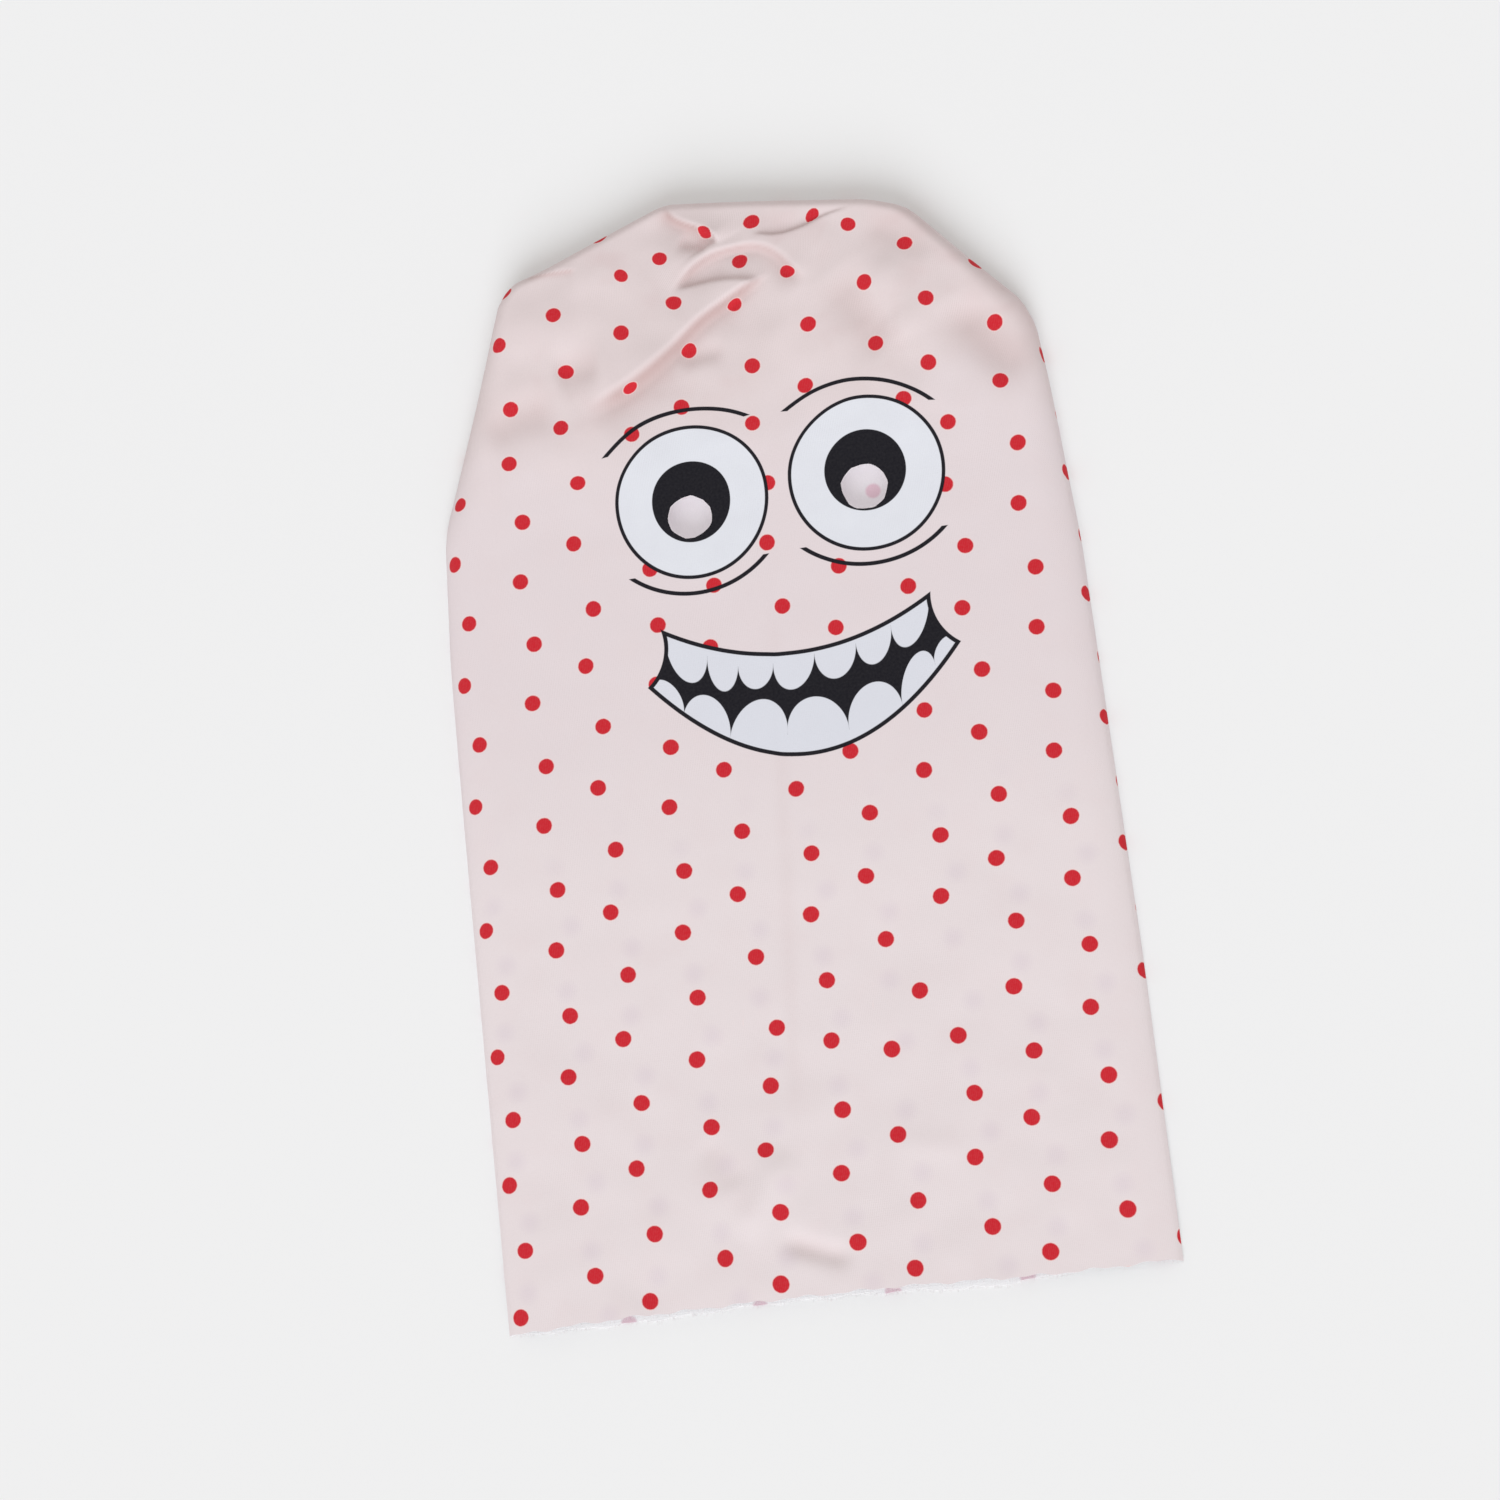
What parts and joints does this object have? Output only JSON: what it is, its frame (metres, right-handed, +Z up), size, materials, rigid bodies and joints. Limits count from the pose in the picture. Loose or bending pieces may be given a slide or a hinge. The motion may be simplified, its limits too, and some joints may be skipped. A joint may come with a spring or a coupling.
{
  "type": "bag puppet",
  "caption": "Flat sewn cloth bag puppet, printed with spots and a cartoon face, with cut eye openings, a stuffed crown, and an open hem for the hand.",
  "frame": {"origin": "on the table, under the middle of the bag's box", "axes": "+X across the bag to the wearer's left, +Y from the hem to the crown, +Z up out of the face"},
  "size_m": [0.23, 0.4, 0.022],
  "materials": {
    "printed_jersey": "thin matt jersey, pale pink with printed red spots and a black and white face, white inside",
    "sewing_thread": "matt overlock thread, off-white to pale pink"
  },
  "bodies": {
    "skirt": {"back_panel_skirt": "printed_jersey", "front_panel_neck": "printed_jersey", "left_seam_skirt": "sewing_thread", "right_seam_skirt": "sewing_thread"},
    "skirt_front": {"front_panel_skirt": "printed_jersey"},
    "head": {"back_panel_head": "printed_jersey", "front_panel_head": "printed_jersey", "left_seam_head": "sewing_thread", "right_seam_head": "sewing_thread", "crown_seam": "sewing_thread"}
  },
  "joints": [
    {"name": "head_nod", "type": "hinge", "parent": "skirt", "child": "head", "pos_m": [0, -0.02, 0.0075], "axis": [1, 0, 0], "range_deg": [0, 80]},
    {"name": "hem_open", "type": "hinge", "parent": "skirt", "child": "skirt_front", "pos_m": [0, -0.034, 0.0075], "axis": [-1, 0, 0], "range_deg": [0, 20]}
  ]
}
